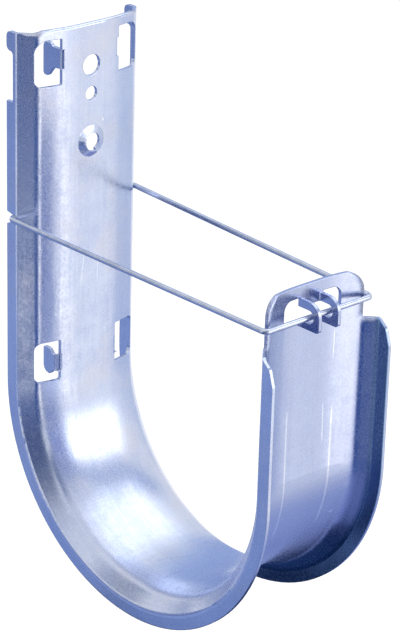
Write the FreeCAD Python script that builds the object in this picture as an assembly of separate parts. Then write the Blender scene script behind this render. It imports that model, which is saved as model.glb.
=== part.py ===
import FreeCAD, Part
import math
import os

# J-hook for a bundle of cables: one pressed sheet body and one spring wire retainer.
# All lengths are in millimetres.
# X runs from the back plate to the front plate, Y across the strip, Z up.
# The cable side of the back plate is the plane X = 0. Heights are given from the loop centre,
# and the finished shapes are moved down so that the fixing hole lies at the origin.

# sheet and strip section
SHEET = 1.2
HALF_WIDTH = 24.9
RIM_DEPTH = 12.05
FLAT_HALF = 5.0
CROWN_RADIUS = 50.0
CROWN_TO_RIM = 6.118
SHOULDER_RADIUS = 5.0
BEVEL_ANGLE = 46.0
FOLD_RADIUS = 2.0
CROWN_END_Y = HALF_WIDTH - CROWN_TO_RIM
CROWN_ANGLE = math.degrees(math.asin((CROWN_END_Y - FLAT_HALF) / CROWN_RADIUS))

# run of the strip
LOOP_DIAMETER = 101.6
LOOP_RADIUS = LOOP_DIAMETER / 2
BACK_TOP = 120.0
SIDE_DROP = 0.8
EAR_TOP = BACK_TOP - SIDE_DROP
SIDE_DROP_START_Y = CROWN_END_Y - 0.8
SIDE_DROP_END_Y = CROWN_END_Y + 1.7
TOP_EDGE_ROUND = 0.9
TONGUE_TOP = 64.3

# back plate holes
FIXING_HOLE_Z = 106.0
FIXING_HOLE_DIAMETER = 7.1
SMALL_HOLE_Z = 96.5
SMALL_HOLE_DIAMETER = 4.8
THREAD_HOLE_Z = 80.4
THREAD_HOLE_DIAMETER = 6.0
THREAD_DISH_DIAMETER = 10.7
THREAD_LIFT = 1.1
THREAD_PITCH = 1.27
THREAD_SLIT = 0.7
THREAD_SLIT_ANGLE = -68.0
THREAD_STEPS = 18

# slots with lanced tabs
SLOT_WIDTH = 9.1
SLOT_TO_RIM = 4.1
SLOT_OUTER_Y = HALF_WIDTH - SLOT_TO_RIM
SLOT_INNER_Y = SLOT_OUTER_Y - SLOT_WIDTH
UPPER_SLOT_BOTTOM = 101.4
UPPER_SLOT_TOP = 116.7
LOWER_SLOT_BOTTOM = -1.0
LOWER_SLOT_TOP = 13.2
SLOT_CORNER = 2.4
SLOT_HIGH_CORNER = 4.0

# flange ears, cut-outs and wire notches
CUT_OUT_X = -8.85
CUT_OUT_BOTTOM = 96.1
CUT_OUT_TOP = 112.8
EAR_CORNER = 1.8
WIRE_DIAMETER = 1.8
WIRE_RADIUS = WIRE_DIAMETER / 2
NOTCH_GAP = 0.25
NOTCH_RIM_TOP = 58.6
NOTCH_RIM_BOTTOM = 54.3

# front plate: tongue, shoulders and lanced eyes
TONGUE_CENTRE_Y = 0.3
TONGUE_TO_RIM = 5.1
TONGUE_HALF_WIDTH = HALF_WIDTH - TONGUE_TO_RIM
TONGUE_CORNER = 6.0
SHOULDER_Z = 48.7
FRONT_FACE_X = LOOP_DIAMETER + SHEET
RAMP_START_X = FRONT_FACE_X + 5.8
RAMP_MIDDLE_X = FRONT_FACE_X + 9.2
RAMP_MIDDLE_Z = 45.9
RAMP_END_Z = 40.6
EYE_CENTRE_Y = 0.8
EYE_HALF_SPAN = 4.6
EYE_BOTTOM = 51.1
EYE_TOP = 60.1
EYE_REACH = 7.9
EYE_TOP_CORNER = 4.6
EYE_BOTTOM_CORNER = 1.3
EYE_FOLD = 0.5
BAR_Z = 55.6
BAR_DROP_ROOM = 1.4
BAR_LIFT_ROOM = 1.0
EYE_SLOT_BOTTOM = BAR_Z - WIRE_RADIUS - BAR_DROP_ROOM
EYE_SLOT_TOP = BAR_Z + WIRE_RADIUS + BAR_LIFT_ROOM
EYE_SLOT_REACH = 5.5
WINDOW_WIDTH = 7.2
WINDOW_BOTTOM = 52.2
WINDOW_TOP = 60.6
WINDOW_CORNER = 3.2

# retainer wire, lying closed
BAR_OUT = 4.2
BAR_X = FRONT_FACE_X + BAR_OUT
BAR_PAST_TONGUE = 2.3
BAR_CORNER_Y = TONGUE_HALF_WIDTH + BAR_PAST_TONGUE
LEG_END_X = -9.4
LEG_END_Z = 56.8
LEG_SIDE_GAP = 0.15
LEG_END_Y = HALF_WIDTH + WIRE_RADIUS + LEG_SIDE_GAP
WIRE_BEND = 1.8
TIP_END_Y = HALF_WIDTH - SHEET
TIP_ROUND = 0.35


def vec(x, y, z):
    return FreeCAD.Vector(x, y, z)


def solid_of(shape):
    return shape.removeSplitter().Solids[0]


# section of the strip

def section_corners(inset):
    # half of one side of the section, from the middle of the strip to the rim
    crown = math.radians(CROWN_ANGLE)
    bevel = math.radians(BEVEL_ANGLE)
    crown_y = FLAT_HALF + CROWN_RADIUS * math.sin(crown)
    crown_n = CROWN_RADIUS * (1 - math.cos(crown))
    bevel_y = crown_y + SHOULDER_RADIUS * (math.sin(bevel) - math.sin(crown))
    bevel_n = crown_n + SHOULDER_RADIUS * (math.cos(crown) - math.cos(bevel))
    fold_y = HALF_WIDTH - FOLD_RADIUS * (1 - math.sin(bevel))
    fold_n = bevel_n + (fold_y - bevel_y) * math.tan(bevel)
    flange_n = fold_n + FOLD_RADIUS * math.cos(bevel)
    turns = [
        (0.0, 0.0, 0.0),
        (FLAT_HALF, 0.0, 0.0),
        (crown_y, crown_n, crown),
        (bevel_y, bevel_n, bevel),
        (fold_y, fold_n, bevel),
        (HALF_WIDTH, flange_n, math.pi / 2),
        (HALF_WIDTH, RIM_DEPTH, math.pi / 2),
    ]
    return [(y - inset * math.sin(a), n + inset * math.cos(a), a) for y, n, a in turns]


def section_side(inset, sign):
    # edges of one side; curved where the heading changes
    corners = section_corners(inset)
    points = [vec(-n, sign * y, 0) for y, n, a in corners]
    radii = [0, CROWN_RADIUS, SHOULDER_RADIUS, 0, FOLD_RADIUS, 0]
    edges = []
    for i, radius in enumerate(radii):
        if radius == 0:
            edges.append(Part.makeLine(points[i], points[i + 1]))
            continue
        start = corners[i]
        middle_heading = (start[2] + corners[i + 1][2]) / 2
        r = radius - inset
        middle_y = start[0] + r * (math.sin(middle_heading) - math.sin(start[2]))
        middle_n = start[1] + r * (math.cos(start[2]) - math.cos(middle_heading))
        middle = vec(-middle_n, sign * middle_y, 0)
        edges.append(Part.Arc(points[i], middle, points[i + 1]).toShape())
    return edges, points[-1]


def strip_section():
    outer_far, rim_far = section_side(0, 1)
    outer_near, rim_near = section_side(0, -1)
    inner_far, inside_far = section_side(SHEET, 1)
    inner_near, inside_near = section_side(SHEET, -1)
    edges = outer_far + outer_near + inner_far + inner_near
    edges.append(Part.makeLine(rim_far, inside_far))
    edges.append(Part.makeLine(rim_near, inside_near))
    return Part.Face(Part.Wire(Part.__sortEdges__(edges)))


def crowned_top_edges(shape):
    # top edges of the flat middle and the crown, on the cable side of the back plate
    found = []
    for edge in shape.Edges:
        box = edge.BoundBox
        middle = edge.valueAt((edge.FirstParameter + edge.LastParameter) / 2)
        level = box.ZLength < 0.01 and abs(middle.z - BACK_TOP) < 0.01
        on_cable_side = abs(middle.x + crown_depth(abs(middle.y))) < 0.1
        if level and abs(middle.y) < CROWN_END_Y and on_cable_side:
            found.append(edge)
    return found


def swept_strip():
    section = strip_section()
    back = section.extrude(vec(0, 0, BACK_TOP))
    back = back.makeFillet(TOP_EDGE_ROUND, crowned_top_edges(back))
    bend = section.revolve(vec(LOOP_RADIUS, 0, 0), vec(0, 1, 0), -180)
    front_section = section.copy()
    front_section.rotate(vec(LOOP_RADIUS, 0, 0), vec(0, 1, 0), -180)
    front = front_section.extrude(vec(0, 0, TONGUE_TOP))
    return back.fuse([bend, front])


# outlines cut through the strip

def rounded_outline(points):
    # closed outline; each point is (a, b, corner radius)
    pieces = []
    count = len(points)
    for i in range(count):
        before = points[i - 1]
        here = points[i]
        after = points[(i + 1) % count]
        corner = vec(here[0], here[1], 0)
        if here[2] == 0:
            pieces.append((corner, None, corner))
            continue
        to_before = (vec(before[0], before[1], 0) - corner).normalize()
        to_after = (vec(after[0], after[1], 0) - corner).normalize()
        half = to_before.getAngle(to_after) / 2
        reach = here[2] / math.tan(half)
        start = corner + to_before * reach
        end = corner + to_after * reach
        inward = (to_before + to_after).normalize()
        middle = corner + inward * (here[2] / math.sin(half) - here[2])
        pieces.append((start, middle, end))
    edges = []
    for i in range(count):
        start, middle, end = pieces[i]
        if middle is not None:
            edges.append(Part.Arc(start, middle, end).toShape())
        following = pieces[(i + 1) % count][0]
        if end.distanceToPoint(following) > 1e-6:
            edges.append(Part.makeLine(end, following))
    return Part.Face(Part.Wire(edges))


def along_x(points, x0, x1):
    # outline given in (Y, Z), pushed along X
    face = rounded_outline(points)
    face.transformShape(FreeCAD.Matrix(0, 0, 1, x0, 1, 0, 0, 0, 0, 1, 0, 0, 0, 0, 0, 1))
    return face.extrude(vec(x1 - x0, 0, 0))


def along_y(points, y0, y1):
    # outline given in (X, Z), pushed along Y
    face = rounded_outline([(x, -z, r) for x, z, r in points])
    face.rotate(vec(0, 0, 0), vec(1, 0, 0), -90)
    face.translate(vec(0, y0, 0))
    return face.extrude(vec(0, y1 - y0, 0))


def round_hole(z, diameter):
    return Part.makeCylinder(diameter / 2, 4, vec(-3, 0, z), vec(1, 0, 0))


def slot(sign, bottom, top, corners):
    inner_low, outer_low, outer_high, inner_high = corners
    points = [
        (sign * SLOT_INNER_Y, bottom, inner_low),
        (sign * SLOT_OUTER_Y, bottom, outer_low),
        (sign * SLOT_OUTER_Y, top, outer_high),
        (sign * SLOT_INNER_Y, top, inner_high),
    ]
    return along_x(points, -7.5, 2)


def slots():
    upper = (0.5, SLOT_CORNER, SLOT_HIGH_CORNER, 0.5)
    lower = (0.9, SLOT_CORNER, SLOT_CORNER, 0.5)
    tools = []
    for sign in (-1, 1):
        tools.append(slot(sign, UPPER_SLOT_BOTTOM, UPPER_SLOT_TOP, upper))
        tools.append(slot(sign, LOWER_SLOT_BOTTOM, LOWER_SLOT_TOP, lower))
    return tools


def rear_flange_cuts():
    outside = -RIM_DEPTH - 3
    across = HALF_WIDTH + 2
    cut_out = [
        (outside, CUT_OUT_BOTTOM, 0),
        (CUT_OUT_X, CUT_OUT_BOTTOM, 0.5),
        (CUT_OUT_X, CUT_OUT_TOP, 1.3),
        (outside, CUT_OUT_TOP, 0),
    ]
    return along_y(cut_out, -across, across)


def ear_trim():
    # rounds the two rear corners of the short ear left at the top of each flange
    rim = -RIM_DEPTH
    across = HALF_WIDTH + 2
    waste = along_y([(rim - 1, CUT_OUT_TOP - 1, 0), (rim + EAR_CORNER, CUT_OUT_TOP - 1, 0),
                     (rim + EAR_CORNER, BACK_TOP + 1, 0), (rim - 1, BACK_TOP + 1, 0)],
                    -across, across)
    keep = along_y([(rim, CUT_OUT_TOP, EAR_CORNER), (rim + 3 * EAR_CORNER, CUT_OUT_TOP, 0),
                    (rim + 3 * EAR_CORNER, EAR_TOP, 0), (rim, EAR_TOP, EAR_CORNER)],
                   -across - 1, across + 1)
    return waste.cut(keep)


def top_side_cuts():
    # the folded sides stand a little lower than the crowned middle
    tools = []
    for sign in (-1, 1):
        waste = [
            (sign * SIDE_DROP_START_Y, BACK_TOP + 0.01, 0),
            (sign * SIDE_DROP_END_Y, EAR_TOP, 0),
            (sign * (HALF_WIDTH + 1), EAR_TOP, 0),
            (sign * (HALF_WIDTH + 1), BACK_TOP + 1, 0),
            (sign * SIDE_DROP_START_Y, BACK_TOP + 1, 0),
        ]
        tools.append(along_x(waste, -RIM_DEPTH - 1, 2))
    return tools


def wire_notches():
    # V-shaped notches that open to the rim and end round the wire
    outside = -RIM_DEPTH - 1
    across = HALF_WIDTH + 2
    root_radius = WIRE_RADIUS + NOTCH_GAP
    root_x = LEG_END_X + 0.5
    upper_slope = (NOTCH_RIM_TOP - (LEG_END_Z + root_radius)) / (RIM_DEPTH + root_x)
    lower_slope = (NOTCH_RIM_BOTTOM - (LEG_END_Z - root_radius)) / (RIM_DEPTH + root_x)
    root_end = root_x + root_radius
    points = [
        (outside, NOTCH_RIM_TOP + upper_slope, 0),
        (outside, NOTCH_RIM_BOTTOM + lower_slope, 0),
        (root_end, LEG_END_Z - root_radius + (root_end - root_x) * -lower_slope, root_radius * 0.8),
        (root_end, LEG_END_Z + root_radius + (root_end - root_x) * -upper_slope, root_radius * 0.8),
    ]
    return along_y(points, -across, across)


def tongue_side(sign, inset):
    return TONGUE_CENTRE_Y + sign * (TONGUE_HALF_WIDTH - inset)


def front_cuts():
    # leaves the narrow tongue above the shoulders and ramps the flanges up to them
    outside = FRONT_FACE_X + RIM_DEPTH + 3
    rim = LOOP_DIAMETER + RIM_DEPTH
    high = TONGUE_TOP + 3
    tools = []
    for sign in (-1, 1):
        waste = [
            (tongue_side(sign, 0), SHOULDER_Z, 0.9),
            (sign * (HALF_WIDTH + 3), SHOULDER_Z, 0),
            (sign * (HALF_WIDTH + 3), high, 0),
            (tongue_side(sign, 0), high, 0),
        ]
        tools.append(along_x(waste, LOOP_DIAMETER - 3, outside))
    ramp = [
        (RAMP_START_X, SHOULDER_Z, 0),
        (RAMP_MIDDLE_X, RAMP_MIDDLE_Z, 3.0),
        (rim, RAMP_END_Z, 0),
        (outside, RAMP_END_Z, 0),
        (outside, high, 0),
        (RAMP_START_X, high, 0),
    ]
    across = HALF_WIDTH + 2
    tools.append(along_y(ramp, -across, across))
    return tools


def tongue_corner_cuts():
    # the two round top corners of the tongue
    tools = []
    z0 = TONGUE_TOP - TONGUE_CORNER
    x0 = LOOP_DIAMETER - 3
    for sign in (-1, 1):
        y0 = tongue_side(sign, TONGUE_CORNER)
        y1 = tongue_side(sign, -1)
        block = along_x([(y0, z0, 0), (y1, z0, 0), (y1, TONGUE_TOP + 1, 0),
                         (y0, TONGUE_TOP + 1, 0)], x0, FRONT_FACE_X + 6)
        disc = Part.makeCylinder(TONGUE_CORNER, 14, vec(x0 - 1, y0, z0), vec(1, 0, 0))
        tools.append(block.cut(disc))
    return tools


# lanced tabs behind the back plate

def tab(sign, face_y, fold, outline, root_low, root_high):
    # flat tab square to Y, and the waste that rounds the fold where it leaves the plate
    near = sign * (face_y - SHEET)
    far = sign * face_y
    blade = along_y(outline, min(near, far), max(near, far))
    surface_x = -crown_depth(face_y - fold)
    fold_y = sign * (face_y - fold)
    height = root_high - root_low
    corner = Part.makeBox(fold + 1, fold + 1, height,
                          vec(surface_x - fold, min(fold_y, fold_y + sign * (fold + 1)), root_low))
    bend = Part.makeCylinder(fold, height, vec(surface_x - fold, fold_y, root_low))
    return blade, corner.cut(bend)


def crown_depth(y):
    # depth of the crowned cable side at distance y from the middle
    if y <= FLAT_HALF:
        return 0.0
    return CROWN_RADIUS - math.sqrt(CROWN_RADIUS ** 2 - (y - FLAT_HALF) ** 2)


UPPER_TAB = [
    (-0.2, 106.6, 0),
    (-4.9, 106.1, 0.8),
    (-7.6, 102.8, 0.9),
    (-9.95, 102.8, 1.1),
    (-9.95, 113.9, 1.9),
    (-6.3, 113.9, 0.7),
    (-5.6, 113.0, 0.4),
    (-0.2, 113.0, 0),
]

LOWER_TAB = [
    (-0.2, 2.2, 0),
    (-3.0, 1.6, 0.8),
    (-4.6, -0.1, 0.9),
    (-8.0, -0.1, 2.6),
    (-8.0, 9.0, 0.6),
    (-4.9, 9.0, 0.6),
    (-3.2, 7.3, 0.6),
    (-0.2, 8.3, 0),
]


def tabs():
    blades = []
    rounds = []
    for sign in (-1, 1):
        for face_y, fold, outline, low, high in (
                (SLOT_INNER_Y, 1.6, UPPER_TAB, 106.6, 113.0),
                (SLOT_INNER_Y + 1.2, 2.4, LOWER_TAB, 2.2, 8.3)):
            blade, rounding = tab(sign, face_y, fold, outline, low, high)
            blades.append(blade)
            rounds.append(rounding)
    return blades, rounds


# single-thread impression

def thread_section(angle, turn_fraction):
    # one slice of the dished ring, rising by one pitch in a full turn
    lift = THREAD_LIFT + THREAD_PITCH * (turn_fraction - 0.5)
    inner = THREAD_HOLE_DIAMETER / 2
    outer = THREAD_DISH_DIAMETER / 2
    anchor = outer + 0.6
    skin = 0.04
    profile = [
        (anchor, -skin), (outer, -skin), (inner + 0.5, lift - 0.25), (inner, lift),
        (inner, lift - SHEET * 0.8), (outer - 0.7, -SHEET + skin), (anchor, -SHEET + skin),
    ]
    radial = vec(0, math.cos(angle), math.sin(angle))
    centre = vec(0, 0, THREAD_HOLE_Z)
    points = [centre + radial * r + vec(x, 0, 0) for r, x in profile]
    return Part.makePolygon(points + [points[0]])


def thread_form():
    slit = math.radians(THREAD_SLIT_ANGLE)
    half_gap = THREAD_SLIT / THREAD_HOLE_DIAMETER
    steps = THREAD_STEPS
    span = 2 * math.pi - 2 * half_gap
    wires = []
    for i in range(steps + 1):
        fraction = i / steps
        wires.append(thread_section(slit + half_gap + span * fraction, fraction))
    return Part.makeLoft(wires, True, True)


def thread_opening():
    return Part.makeCylinder(THREAD_DISH_DIAMETER / 2, 6, vec(-3, 0, THREAD_HOLE_Z), vec(1, 0, 0))


# lanced eyes on the tongue

def eye_outline():
    root = FRONT_FACE_X - SHEET / 2
    tip = FRONT_FACE_X + EYE_REACH
    return [
        (root, EYE_BOTTOM, 0),
        (tip, EYE_BOTTOM, EYE_BOTTOM_CORNER),
        (tip, EYE_TOP, EYE_TOP_CORNER),
        (root, EYE_TOP, 0),
    ]


def eye_slot():
    tip = FRONT_FACE_X + EYE_SLOT_REACH
    end_round = (EYE_SLOT_TOP - EYE_SLOT_BOTTOM) / 2 - 0.01
    points = [
        (LOOP_DIAMETER - 2, EYE_SLOT_BOTTOM, 0),
        (tip, EYE_SLOT_BOTTOM, end_round),
        (tip, EYE_SLOT_TOP, end_round),
        (LOOP_DIAMETER - 2, EYE_SLOT_TOP, 0),
    ]
    half = EYE_HALF_SPAN
    return along_y(points, EYE_CENTRE_Y - half - 0.5, EYE_CENTRE_Y + half + 0.5)


def windows():
    tools = []
    for sign in (-1, 1):
        inner = EYE_CENTRE_Y + sign * EYE_HALF_SPAN
        outer = inner + sign * WINDOW_WIDTH
        points = [
            (inner, WINDOW_BOTTOM, 0.3),
            (outer, WINDOW_BOTTOM, 1.0),
            (outer, WINDOW_TOP, WINDOW_CORNER),
            (inner, WINDOW_TOP, 0.3),
        ]
        tools.append(along_x(points, LOOP_DIAMETER - 2, FRONT_FACE_X + 3))
    return tools


def ears():
    blades = []
    rounds = []
    for sign in (-1, 1):
        outer = EYE_CENTRE_Y + sign * EYE_HALF_SPAN
        inner = outer - sign * SHEET
        blades.append(along_y(eye_outline(), min(inner, outer), max(inner, outer)))
        # concave fillet between the bridge and the inner face of the ear
        centre = vec(FRONT_FACE_X + EYE_FOLD, inner - sign * EYE_FOLD, EYE_BOTTOM)
        height = EYE_TOP - EYE_BOTTOM
        block = Part.makeBox(EYE_FOLD + 0.3, EYE_FOLD + 0.3, height,
                             vec(FRONT_FACE_X - 0.3, min(inner - sign * EYE_FOLD, inner + sign * 0.3),
                                 EYE_BOTTOM))
        rounds.append(block.cut(Part.makeCylinder(EYE_FOLD, height, centre)))
    return blades + rounds


# the two parts

def hook_body():
    strip = swept_strip()
    blades, rounds = tabs()
    cuts = slots() + rear_parts() + front_cuts() + tongue_corner_cuts() + windows()
    cuts.append(round_hole(FIXING_HOLE_Z, FIXING_HOLE_DIAMETER))
    cuts.append(round_hole(SMALL_HOLE_Z, SMALL_HOLE_DIAMETER))
    cuts.append(thread_opening())
    body = strip.cut(cuts)
    body = body.fuse(blades + ears() + [thread_form()])
    body = body.cut(rounds + [eye_slot()])
    return solid_of(body)


def rear_parts():
    return [rear_flange_cuts(), ear_trim(), wire_notches()] + top_side_cuts()


def wire_path():
    corners = [
        vec(LEG_END_X, -TIP_END_Y, LEG_END_Z),
        vec(LEG_END_X, -LEG_END_Y, LEG_END_Z),
        vec(BAR_X, -BAR_CORNER_Y, BAR_Z),
        vec(BAR_X, BAR_CORNER_Y, BAR_Z),
        vec(LEG_END_X, LEG_END_Y, LEG_END_Z),
        vec(LEG_END_X, TIP_END_Y, LEG_END_Z),
    ]
    edges = []
    last = corners[0]
    for i in range(1, len(corners) - 1):
        here = corners[i]
        to_before = (corners[i - 1] - here).normalize()
        to_after = (corners[i + 1] - here).normalize()
        half = to_before.getAngle(to_after) / 2
        start = here + to_before * (WIRE_BEND / math.tan(half))
        end = here + to_after * (WIRE_BEND / math.tan(half))
        inward = (to_before + to_after).normalize()
        middle = here + inward * (WIRE_BEND / math.sin(half) - WIRE_BEND)
        edges.append(Part.makeLine(last, start))
        edges.append(Part.Arc(start, middle, end).toShape())
        last = end
    edges.append(Part.makeLine(last, corners[-1]))
    return Part.Wire(edges)


def retainer_wire():
    path = wire_path()
    ring = Part.makeCircle(WIRE_RADIUS, vec(LEG_END_X, -TIP_END_Y, LEG_END_Z), vec(0, -1, 0))
    wire = path.makePipeShell([Part.Wire(ring)], True, False)
    ends = [edge for edge in wire.Edges
            if edge.BoundBox.YLength < 0.01 and abs(abs(edge.BoundBox.YMin) - TIP_END_Y) < 0.01]
    return wire.makeFillet(TIP_ROUND, ends)


def placed(shape):
    # moves the fixing hole to the origin
    shape.translate(vec(0, 0, -FIXING_HOLE_Z))
    return shape


def main():
    os.makedirs("parts", exist_ok=True)
    placed(hook_body()).exportStep("parts/hook_body.step")
    placed(retainer_wire()).exportStep("parts/retainer_wire.step")


main()
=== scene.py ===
import math
import bpy
from mathutils import Matrix, Vector


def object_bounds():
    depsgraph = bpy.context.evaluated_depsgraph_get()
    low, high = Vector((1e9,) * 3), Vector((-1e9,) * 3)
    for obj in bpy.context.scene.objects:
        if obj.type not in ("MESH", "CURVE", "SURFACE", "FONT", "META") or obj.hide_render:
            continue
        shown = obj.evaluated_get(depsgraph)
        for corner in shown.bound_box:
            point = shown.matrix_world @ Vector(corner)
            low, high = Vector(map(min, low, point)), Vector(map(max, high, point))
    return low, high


# J-hook with a spring wire retainer, in pregalvanised steel.
# Lengths are in metres, and only the lists of marks on the sheet are in millimetres.

# camera, at the photograph's viewing angle
CAMERA_PLACE = Vector((0.6036, -0.5052, 0.2527))
CAMERA_AZIMUTH = math.radians(47.391)
CAMERA_ELEVATION = math.radians(23.351)
CAMERA_ROLL = math.radians(1.637)
CAMERA_LENS = 146.09
CAMERA_CLIP = (0.01, 50.0)

# run of the strip, in the frame of the solids
LOOP_RADIUS = 0.0508
LOOP_CENTRE_Z = -0.106

# soft rolls of the strip's folds: distances from its middle, and how far each roll reaches
FOLD_BAND = (0.0140, 0.0165, 0.0225, 0.0238)
FOLD_RADIUS = 0.0026
EDGE_RADIUS = 0.0003
ROLL_SAMPLES = 8
# where the slots lie along the strip, and how fast the rolls fade towards them
SLOT_SPANS = [(-0.1970, -0.1800), (-0.0945, -0.0780)]
SLOT_FADE = 0.002

# colours, as linear values
SHEET_PALE = (0.62, 0.67, 0.82)
SHEET_DEEP = (0.48, 0.545, 0.74)
SHEET_WARM = (0.62, 0.62, 0.70)
SHEET_LINE = (0.86, 0.89, 0.95)
PAINTED_FRONT_SHADE = (0.43, 0.485, 0.69)
PAINTED_CHANNEL_SHADE = (0.16, 0.28, 0.44)
WIRE_PALE = (0.60, 0.65, 0.78)
WIRE_DEEP = (0.516, 0.559, 0.6708)

# patterns: noise scale, detail and roughness
PATCHES = (42.0, 3.0, 0.55)
MOTTLE = (230.0, 5.0, 0.66)
GRAIN = (1100.0, 2.0, 0.5)
STREAKS = (900.0, 3.0, 0.6)
STREAK_STRETCH = 0.05
WARMTH = (60.0, 4.0, 0.6)
WARMTH_SHIFT = 0.37
BLOTCHES = (300.0, 3.0, 0.55)
# the range that most of a noise's values lie in
NOISE_RANGE = (0.35, 0.65)
BLOTCH_RANGE = (0.3, 0.7)

# tone of the sheet: shares of patches, mottle and streaks, and what they and the marks do to it
TONE_SHARES = (0.40, 0.35, 0.25)
TONE_RANGE = (0.36, 0.64)
PALENESS = (0.15, 0.85)
WARMTH_RANGE = (0.46, 0.68)
WARMTH_SHARE = 0.45
LIGHT_SHARE = 0.55
DULL_SHARE = 0.7

# gloss and relief of the sheet and the wire
SHEET_ROUGHNESS = (0.30, 0.21)
GRAIN_ROUGHNESS = 0.025
DULL_ROUGHNESS = 0.08
GRAIN_RELIEF = 0.22
STREAK_RELIEF = 0.16
LIGHT_RELIEF = 0.3
DULL_RELIEF = -0.3
SHEET_BUMP = (0.6, 0.00005)
WIRE_ROUGHNESS = (0.30, 0.22)
WIRE_BUMP = (0.2, 0.00003)

# painted shade, the sheet's colour darkened where shade falls: on the front plate but for the near
# flange's outer face, and on the inner side of the far channel
PAINTED_SHADE_SHARE = 0.8
FRONT_SHADE_X = (0.088, 0.098)
FRONT_SHADE_Y = (-0.0242, -0.0230)
CHANNEL_SHADE_BAND = (0.0222, 0.0235, 0.0239, 0.0243)
CHANNEL_SHADE_ALONG = (0.0, 0.020)

# soft edges of marks: between these shares of a line's half width and of a spot's squared reach,
# and how long the ends of a line take to fade
LINE_EDGE = (0.3, 1.7)
SPOT_EDGE = (0.55, 1.3)
LINE_FADE = 0.003

# lines painted lighter on the front plate and into its bend, in millimetres:
# start and end as (along, y), and half width
FRONT_LIGHT_LINES = [
    ((104.6, -7.8), (58.0, -7.6), 0.30),
    ((103.5, 7.5), (88.0, 7.9), 0.22),
    ((101.5, 11.2), (58.0, 10.9), 0.30),
    ((127.5, 10.9), (116.0, 10.7), 0.22),
]
# they begin to show between these two x
FRONT_LINES_X = (0.090, 0.096)

# light scratches on the back plate, in the same form
SCRATCHES = [
    ((-125.0, -2.0), (-110.0, -3.7), 0.16),
    ((-119.0, 3.6), (-110.0, 3.2), 0.14),
]

# light specks, in millimetres: centre as (along, y), half length and half width
SPECKS = [
    ((-105.6, -12.1), 0.42, 0.42),
    ((-102.5, -13.9), 0.45, 0.55),
    ((-166.5, 5.0), 0.5, 0.5),
    ((62.1, 15.4), 0.35, 0.8),
]

# darker places in the same forms: an oval stain on the back plate, scuffs in the bowl
STAIN = ((-108.0, -17.0), 6.6, 2.6)
STAIN_SHARE = 0.75
SCUFFS = [
    ((-5.5, -9.8), (1.2, 6.5), 0.7),
    ((4.6, -15.0), (6.0, -4.0), 0.6),
    ((-51.0, -4.0), (-52.0, 3.0), 0.3),
]
SCUFF_SHARE = 0.8

# floor
FLOOR_DROP = 0.5
FLOOR_SIZE = 12.0
FLOOR_WHITE = 0.9
FLOOR_LIFT = 0.16

# soft boxes: azimuth, elevation, distance, width, height, brightness (white is 1) and colour
SOFT_BOXES = [
    ("front_soft_box", 22, 16, 1.3, 1.20, 0.60, 1.3, (1.0, 1.0, 1.0)),
    ("front_soft_box_rim", 22, 14, 1.3, 1.40, 0.78, 0.35, (1.0, 0.95, 0.90)),
    ("top_soft_box", 86, 63, 1.3, 1.05, 0.78, 0.65, (1.0, 1.0, 1.0)),
    ("top_soft_box_rim", 92, 58, 1.3, 1.30, 1.00, 0.30, (0.8, 0.95, 1.0)),
    ("low_soft_box", 8, -19, 0.95, 0.80, 0.36, 0.80, (1.0, 0.88, 0.66)),
]

# upright studio cards that the metal mirrors: azimuth, elevation, distance, width, height
# and the colours from their lower to their upper edge
CARDS = [
    ("camera_side_card", -62, 4, 1.0, 0.86, 0.96,
     [(0.0, (0.15, 0.22, 0.42)), (0.28, (0.12, 0.17, 0.34)), (0.46, (0.07, 0.11, 0.24)),
      (0.72, (0.14, 0.18, 0.30)), (1.0, (0.50, 0.54, 0.62))]),
    ("camera_card", -32, -15, 0.98, 0.42, 0.66,
     [(0.0, (0.02, 0.09, 0.32)), (0.6, (0.02, 0.09, 0.32)), (1.0, (0.08, 0.14, 0.30))]),
    ("crease_card", -20, 36, 1.05, 0.62, 0.60,
     [(0.0, (0.18, 0.23, 0.38)), (1.0, (0.30, 0.35, 0.48))]),
    ("bevel_card", -134, 36, 1.05, 0.62, 0.34,
     [(0.0, (0.24, 0.29, 0.40)), (1.0, (0.60, 0.64, 0.74))]),
    ("left_card", -140, -11, 1.0, 1.2, 0.80,
     [(0.0, (0.32, 0.42, 0.72)), (0.35, (0.34, 0.44, 0.74)), (0.62, (0.17, 0.24, 0.48)),
      (1.0, (0.32, 0.38, 0.58))]),
    ("back_card", 146, 14, 1.1, 0.85, 1.1,
     [(0.0, (0.36, 0.46, 0.76)), (0.5, (0.42, 0.54, 0.84)), (1.0, (0.80, 0.88, 1.0))]),
    ("band_card", 52, 38, 1.15, 1.3, 0.24,
     [(0.0, (0.52, 0.60, 0.80)), (1.0, (0.42, 0.52, 0.78))]),
    ("right_card", 78, -18, 1.1, 0.80, 1.0,
     [(0.0, (0.36, 0.44, 0.76)), (0.22, (0.50, 0.58, 0.84)), (0.55, (0.80, 0.86, 0.96)),
      (1.0, (0.84, 0.88, 0.96))]),
]

# mats that lie under the hook: middle x and y, turn, height over the floor, width, depth
# and the colours from their near to their far edge
MATS = [
    ("floor_mat", 0.0, 0.0, -45, 0.004, 2.4, 2.2,
     [(0.0, (0.30, 0.40, 0.70)), (0.25, (0.18, 0.27, 0.54)), (0.46, (0.04, 0.08, 0.24)),
      (0.60, (0.28, 0.35, 0.68)), (0.76, (0.42, 0.50, 0.80)), (1.0, (1.0, 1.0, 1.0))]),
    # painted shade: a near-black sheet close under the hook, seen only in the metal, which the inside
    # of the far channel mirrors in place of its own shade
    ("channel_shade_mat", 0.055, -0.012, 0, FLOOR_DROP - 0.031, 0.14, 0.088,
     [(0.0, (0.006, 0.02, 0.07)), (1.0, (0.008, 0.03, 0.11))]),
]


# nodes

def add_node(tree, kind, **settings):
    made = tree.nodes.new(kind)
    for name, value in settings.items():
        setattr(made, name, value)
    return made


def feed(tree, socket, value):
    # a socket takes another socket's output or a plain value
    if isinstance(value, bpy.types.NodeSocket):
        tree.links.new(value, socket)
    else:
        socket.default_value = value


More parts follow.
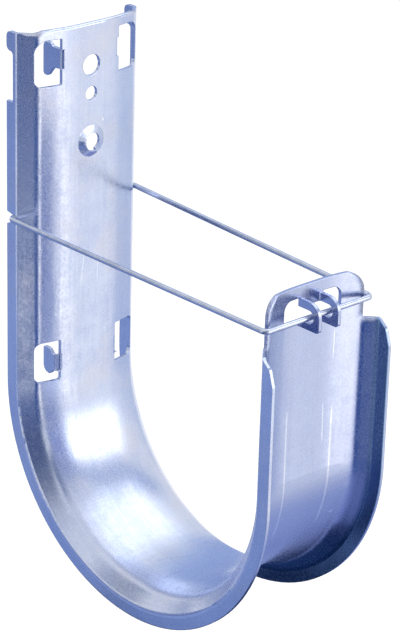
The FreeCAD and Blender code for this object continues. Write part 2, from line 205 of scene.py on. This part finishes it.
def maths(tree, operation, *values):
    made = add_node(tree, "ShaderNodeMath", operation=operation)
    for socket, value in zip(made.inputs, values):
        feed(tree, socket, value)
    return made.outputs[0]


def add_all(tree, values):
    total = values[0]
    for value in values[1:]:
        total = maths(tree, "ADD", total, value)
    return total


def scaled(tree, value, factor):
    return maths(tree, "MULTIPLY", value, factor)


def squared(tree, value):
    return maths(tree, "MULTIPLY", value, value)


def remap(tree, value, low, high, to_low, to_high):
    made = add_node(tree, "ShaderNodeMapRange", interpolation_type="SMOOTHSTEP")
    for socket, setting in zip(made.inputs, (value, low, high, to_low, to_high)):
        feed(tree, socket, setting)
    return made.outputs[0]


def band(tree, value, start, full, last, end):
    # 1 between full and last, 0 outside start and end
    rising = remap(tree, value, start, full, 0.0, 1.0)
    falling = remap(tree, value, last, end, 1.0, 0.0)
    return maths(tree, "MULTIPLY", rising, falling)


def combine(tree, x, y, z):
    made = add_node(tree, "ShaderNodeCombineXYZ")
    for socket, value in zip(made.inputs, (x, y, z)):
        feed(tree, socket, value)
    return made.outputs[0]


def separate(tree, vector):
    parts = add_node(tree, "ShaderNodeSeparateXYZ")
    feed(tree, parts.inputs[0], vector)
    return parts.outputs


def noise(tree, place, pattern):
    made = add_node(tree, "ShaderNodeTexNoise")
    feed(tree, made.inputs["Vector"], place)
    for name, value in zip(("Scale", "Detail", "Roughness"), pattern):
        made.inputs[name].default_value = value
    return made.outputs["Fac"]


def mix_colour(tree, share, first, second):
    made = add_node(tree, "ShaderNodeMix", data_type="RGBA")
    feed(tree, made.inputs[0], share)
    for socket, colour in ((made.inputs[6], first), (made.inputs[7], second)):
        feed(tree, socket, colour if isinstance(colour, bpy.types.NodeSocket) else (*colour, 1))
    return made.outputs[2]


def colour_ramp(tree, share, stops):
    made = add_node(tree, "ShaderNodeValToRGB")
    ramp = made.color_ramp
    ramp.interpolation = "EASE"
    while len(ramp.elements) < len(stops):
        ramp.elements.new(0.5)
    for element, (position, colour) in zip(ramp.elements, stops):
        element.position = position
        element.color = (*colour, 1)
    feed(tree, made.inputs[0], share)
    return made.outputs[0]


def bumped(tree, height, strength, distance, normal=None):
    bump = add_node(tree, "ShaderNodeBump")
    if normal is not None:
        feed(tree, bump.inputs["Normal"], normal)
    bump.inputs["Strength"].default_value = strength
    bump.inputs["Distance"].default_value = distance
    feed(tree, bump.inputs["Height"], height)
    return bump.outputs[0]


# surface of the sheet

def strip_place(tree):
    # how far along the strip a point lies from the lowest point of the loop, its x and y,
    # and how far outside the loop's own line it lies
    x, y, z = separate(tree, add_node(tree, "ShaderNodeTexCoord").outputs["Object"])
    beside = maths(tree, "SUBTRACT", x, LOOP_RADIUS)
    above = maths(tree, "SUBTRACT", z, LOOP_CENTRE_Z)
    side = maths(tree, "SIGN", beside)
    depth = maths(tree, "MAXIMUM", scaled(tree, above, -1.0), 0.0)
    turned = scaled(tree, maths(tree, "ARCTAN2", beside, depth), LOOP_RADIUS)
    straight = maths(tree, "MULTIPLY", maths(tree, "MAXIMUM", above, 0.0), side)
    reach = maths(tree, "SQRT", add_all(tree, [squared(tree, beside), squared(tree, depth)]))
    outside = maths(tree, "SUBTRACT", reach, LOOP_RADIUS)
    return maths(tree, "ADD", turned, straight), x, y, outside


def line_mark(tree, along, y, start, end, half_width):
    # a thin line from one (along, y) point to another, in millimetres, fading at its ends
    a0, y0 = (0.001 * value for value in start)
    a1, y1 = (0.001 * value for value in end)
    near, far = (0.001 * half_width * share for share in LINE_EDGE)
    length = math.hypot(a1 - a0, y1 - y0)
    da = (a1 - a0) / length
    dy = (y1 - y0) / length
    from_a = maths(tree, "SUBTRACT", along, a0)
    from_y = maths(tree, "SUBTRACT", y, y0)
    run = maths(tree, "ADD", scaled(tree, from_a, da), scaled(tree, from_y, dy))
    off = maths(tree, "SUBTRACT", scaled(tree, from_y, da), scaled(tree, from_a, dy))
    inside = remap(tree, maths(tree, "ABSOLUTE", off), near, far, 1.0, 0.0)
    return maths(tree, "MULTIPLY", inside, band(tree, run, 0.0, LINE_FADE, length - LINE_FADE, length))


def line_marks(tree, along, y, lines):
    return add_all(tree, [line_mark(tree, along, y, *line) for line in lines])


def spot_mark(tree, along, y, centre, half_length, half_width):
    # an oval spot round an (along, y) point, all in millimetres
    off_a = scaled(tree, maths(tree, "SUBTRACT", along, 0.001 * centre[0]), 1000 / half_length)
    off_y = scaled(tree, maths(tree, "SUBTRACT", y, 0.001 * centre[1]), 1000 / half_width)
    reach = add_all(tree, [squared(tree, off_a), squared(tree, off_y)])
    return remap(tree, reach, *SPOT_EDGE, 1.0, 0.0)


def light_marks(tree, along, x, y):
    on_front = remap(tree, x, *FRONT_LINES_X, 0.0, 1.0)
    # lighter lines on the front plate and into its bend
    front_lines = maths(tree, "MULTIPLY", line_marks(tree, along, y, FRONT_LIGHT_LINES), on_front)
    specks = [spot_mark(tree, along, y, *speck) for speck in SPECKS]
    return add_all(tree, [front_lines, line_marks(tree, along, y, SCRATCHES), *specks])


def dull_marks(tree, along, y):
    stain = scaled(tree, spot_mark(tree, along, y, *STAIN), STAIN_SHARE)
    return maths(tree, "ADD", stain, scaled(tree, line_marks(tree, along, y, SCUFFS), SCUFF_SHARE))


def rolled_folds(tree, along, y):
    # the folds beside the crowned middle of the strip are wide soft rolls, other edges are crisp,
    # and so are the folds at the height of the slots, where they end in cut edges
    folds = band(tree, maths(tree, "ABSOLUTE", y), *FOLD_BAND)
    slots = add_all(tree, [band(tree, along, low - SLOT_FADE, low, high, high + SLOT_FADE)
                           for low, high in SLOT_SPANS])
    share = maths(tree, "MULTIPLY", folds, maths(tree, "SUBTRACT", 1.0, slots))
    rolled = add_node(tree, "ShaderNodeBevel", samples=ROLL_SAMPLES)
    radius = maths(tree, "ADD", scaled(tree, share, FOLD_RADIUS), EDGE_RADIUS)
    feed(tree, rolled.inputs["Radius"], radius)
    return rolled.outputs[0]


# painted shade on the front plate, which is the same sheet as the back plate
def painted_front_shade_share(tree, x, y):
    plate = remap(tree, x, *FRONT_SHADE_X, 0.0, PAINTED_SHADE_SHARE)
    return maths(tree, "MULTIPLY", plate, remap(tree, y, *FRONT_SHADE_Y, 0.0, 1.0))


# painted shade inside the far channel, where its own walls shade it
def painted_channel_shade_share(tree, along, y):
    channel = scaled(tree, band(tree, y, *CHANNEL_SHADE_BAND), PAINTED_SHADE_SHARE)
    return maths(tree, "MULTIPLY", channel, remap(tree, along, *CHANNEL_SHADE_ALONG, 0.0, 1.0))


def sheet_colour(tree, tone, place, light, dull):
    along, x, y, outside = place
    paleness = remap(tree, tone, *TONE_RANGE, *PALENESS)
    paleness = maths(tree, "SUBTRACT", paleness, scaled(tree, dull, DULL_SHARE))
    paleness = maths(tree, "MINIMUM", maths(tree, "MAXIMUM", paleness, 0.0), 1.0)
    colour = mix_colour(tree, paleness, SHEET_DEEP, SHEET_PALE)
    warmth_place = combine(tree, along, y, maths(tree, "ADD", outside, WARMTH_SHIFT))
    warmth = remap(tree, noise(tree, warmth_place, WARMTH), *WARMTH_RANGE, 0.0, WARMTH_SHARE)
    colour = mix_colour(tree, warmth, colour, SHEET_WARM)
    # painted shade on the front plate
    colour = mix_colour(tree, painted_front_shade_share(tree, x, y), colour, PAINTED_FRONT_SHADE)
    # painted shade inside the far channel
    colour = mix_colour(tree, painted_channel_shade_share(tree, along, y), colour, PAINTED_CHANNEL_SHADE)
    return mix_colour(tree, scaled(tree, light, LIGHT_SHARE), colour, SHEET_LINE)


def sheet_material():
    material = bpy.data.materials.new("pregalvanised_sheet")
    material.use_nodes = True
    tree = material.node_tree
    shader = tree.nodes["Principled BSDF"]
    along, x, y, outside = strip_place(tree)
    flat_place = combine(tree, along, y, outside)
    fine_place = combine(tree, scaled(tree, along, STREAK_STRETCH), y, outside)
    patches = noise(tree, flat_place, PATCHES)
    mottle = noise(tree, flat_place, MOTTLE)
    grain = noise(tree, flat_place, GRAIN)
    streaks = noise(tree, fine_place, STREAKS)
    light = light_marks(tree, along, x, y)
    dull = dull_marks(tree, along, y)
    tone = add_all(tree, [scaled(tree, pattern, share)
                          for pattern, share in zip((patches, mottle, streaks), TONE_SHARES)])

    feed(tree, shader.inputs["Base Color"],
         sheet_colour(tree, tone, (along, x, y, outside), light, dull))
    shader.inputs["Metallic"].default_value = 1.0
    roughness = add_all(tree, [remap(tree, tone, *NOISE_RANGE, *SHEET_ROUGHNESS),
                               remap(tree, grain, *NOISE_RANGE, -GRAIN_ROUGHNESS, GRAIN_ROUGHNESS),
                               scaled(tree, dull, DULL_ROUGHNESS)])
    feed(tree, shader.inputs["Roughness"], roughness)
    relief = add_all(tree, [mottle, scaled(tree, grain, GRAIN_RELIEF),
                            scaled(tree, streaks, STREAK_RELIEF), scaled(tree, light, LIGHT_RELIEF),
                            scaled(tree, dull, DULL_RELIEF)])
    feed(tree, shader.inputs["Normal"], bumped(tree, relief, *SHEET_BUMP, rolled_folds(tree, along, y)))
    return material


# surface of the wire

def wire_material():
    material = bpy.data.materials.new("drawn_spring_wire")
    material.use_nodes = True
    tree = material.node_tree
    shader = tree.nodes["Principled BSDF"]
    place = add_node(tree, "ShaderNodeTexCoord").outputs["Object"]
    blotches = noise(tree, place, BLOTCHES)
    share = remap(tree, blotches, *NOISE_RANGE, 0.0, 1.0)
    feed(tree, shader.inputs["Base Color"], mix_colour(tree, share, WIRE_DEEP, WIRE_PALE))
    shader.inputs["Metallic"].default_value = 1.0
    feed(tree, shader.inputs["Roughness"], remap(tree, blotches, *BLOTCH_RANGE, *WIRE_ROUGHNESS))
    feed(tree, shader.inputs["Normal"], bumped(tree, blotches, *WIRE_BUMP))
    return material


def finish_node(name, material):
    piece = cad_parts[name]
    piece.data.materials.clear()
    piece.data.materials.append(material)


# stage

def studio_direction(azimuth, elevation):
    # azimuth is measured from +X towards +Y
    a = math.radians(azimuth)
    e = math.radians(elevation)
    return Vector((math.cos(a) * math.cos(e), math.sin(a) * math.cos(e), math.sin(e)))


def make_surround():
    # plain white on every side, for the camera, the metal and the floor alike
    world = bpy.data.worlds.new("studio")
    bpy.context.scene.world = world
    world.use_nodes = True
    background = world.node_tree.nodes["Background"]
    background.inputs["Color"].default_value = (1, 1, 1, 1)
    background.inputs["Strength"].default_value = 1.0


def make_panel(name, width, height):
    mesh = bpy.data.meshes.new(name)
    corners = [(-width / 2, -height / 2, 0), (width / 2, -height / 2, 0),
               (width / 2, height / 2, 0), (-width / 2, height / 2, 0)]
    mesh.from_pydata(corners, [], [(0, 1, 2, 3)])
    panel = bpy.data.objects.new(name, mesh)
    bpy.context.scene.collection.objects.link(panel)
    return panel


def make_floor(level):
    # white paper; the small lift, for the rays that show it, makes its lit part plain white
    floor = make_panel("floor", FLOOR_SIZE, FLOOR_SIZE)
    floor.location = (0, 0, level)
    material = bpy.data.materials.new("pale_floor")
    material.use_nodes = True
    tree = material.node_tree
    shader = tree.nodes["Principled BSDF"]
    shader.inputs["Base Color"].default_value = (FLOOR_WHITE, FLOOR_WHITE, FLOOR_WHITE, 1)
    shader.inputs["Roughness"].default_value = 1.0
    shader.inputs["Specular IOR Level"].default_value = 0.0
    shader.inputs["Emission Color"].default_value = (1, 1, 1, 1)
    rays = add_node(tree, "ShaderNodeLightPath").outputs
    seen = add_all(tree, [rays["Is Camera Ray"], rays["Is Glossy Ray"], rays["Is Transmission Ray"]])
    feed(tree, shader.inputs["Emission Strength"], scaled(tree, seen, FLOOR_LIFT))
    floor.data.materials.append(material)


def only_mirrored(panel):
    # a card is seen in the metal alone; it throws no light and no shadow
    panel.visible_camera = False
    panel.visible_diffuse = False
    panel.visible_transmission = False
    panel.visible_shadow = False


def card_material(name, stops):
    material = bpy.data.materials.new(name)
    material.use_nodes = True
    tree = material.node_tree
    tree.nodes.clear()
    across, upwards, _ = separate(tree, add_node(tree, "ShaderNodeTexCoord").outputs["Generated"])
    glow = add_node(tree, "ShaderNodeEmission")
    feed(tree, glow.inputs["Color"], colour_ramp(tree, upwards, stops))
    output = add_node(tree, "ShaderNodeOutputMaterial")
    tree.links.new(glow.outputs[0], output.inputs[0])
    return material


def facing(place, target, front):
    return (target - place).to_track_quat(front, "Y").to_matrix().to_4x4()


def make_cards(centre):
    for name, azimuth, elevation, distance, width, height, stops in CARDS:
        card = make_panel(name, width, height)
        place = centre + distance * studio_direction(azimuth, elevation)
        card.matrix_world = Matrix.Translation(place) @ facing(place, centre, "Z")
        card.data.materials.append(card_material(name, stops))
        only_mirrored(card)


def make_mats(level):
    for name, x, y, turn, lift, width, depth, stops in MATS:
        mat = make_panel(name, width, depth)
        mat.location = (x, y, level + lift)
        mat.rotation_euler.z = math.radians(turn)
        mat.data.materials.append(card_material(name, stops))
        only_mirrored(mat)


def make_lamps(centre):
    for name, azimuth, elevation, distance, width, height, brightness, colour in SOFT_BOXES:
        data = bpy.data.lights.new(name, "AREA")
        data.shape = "RECTANGLE"
        data.size = width
        data.size_y = height
        data.energy = brightness * math.pi * width * height
        data.color = colour
        lamp = bpy.data.objects.new(name, data)
        place = centre + distance * studio_direction(azimuth, elevation)
        lamp.matrix_world = Matrix.Translation(place) @ facing(place, centre, "-Z")
        lamp.visible_camera = False
        bpy.context.scene.collection.objects.link(lamp)


def make_camera():
    a = CAMERA_AZIMUTH
    e = CAMERA_ELEVATION
    back = Vector((math.sin(a) * math.cos(e), -math.cos(a) * math.cos(e), math.sin(e)))
    level = Vector((math.cos(a), math.sin(a), 0))
    upright = back.cross(level)
    right = math.cos(CAMERA_ROLL) * level + math.sin(CAMERA_ROLL) * upright
    up = -math.sin(CAMERA_ROLL) * level + math.cos(CAMERA_ROLL) * upright
    data = bpy.data.cameras.new("camera")
    data.lens = CAMERA_LENS
    data.clip_start, data.clip_end = CAMERA_CLIP
    camera = bpy.data.objects.new("camera", data)
    turn = Matrix((right, up, back)).transposed()
    camera.matrix_world = Matrix.LocRotScale(CAMERA_PLACE, turn.to_quaternion(), None)
    bpy.context.scene.collection.objects.link(camera)
    bpy.context.scene.camera = camera


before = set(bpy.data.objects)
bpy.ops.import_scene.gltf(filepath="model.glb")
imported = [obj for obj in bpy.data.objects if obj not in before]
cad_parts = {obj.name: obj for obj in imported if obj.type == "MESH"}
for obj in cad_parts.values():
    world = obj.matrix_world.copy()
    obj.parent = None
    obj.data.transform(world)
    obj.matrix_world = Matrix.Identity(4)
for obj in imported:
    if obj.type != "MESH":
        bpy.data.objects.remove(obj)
cad_low, cad_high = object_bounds()
middle = (cad_low + cad_high) / 2
floor_level = cad_low.z - FLOOR_DROP
finish_node("hook_body", sheet_material())
finish_node("retainer_wire", wire_material())
make_surround()
make_floor(floor_level)
make_cards(middle)
make_mats(floor_level)
make_lamps(middle)
make_camera()
bpy.context.scene.view_settings.view_transform = "Standard"
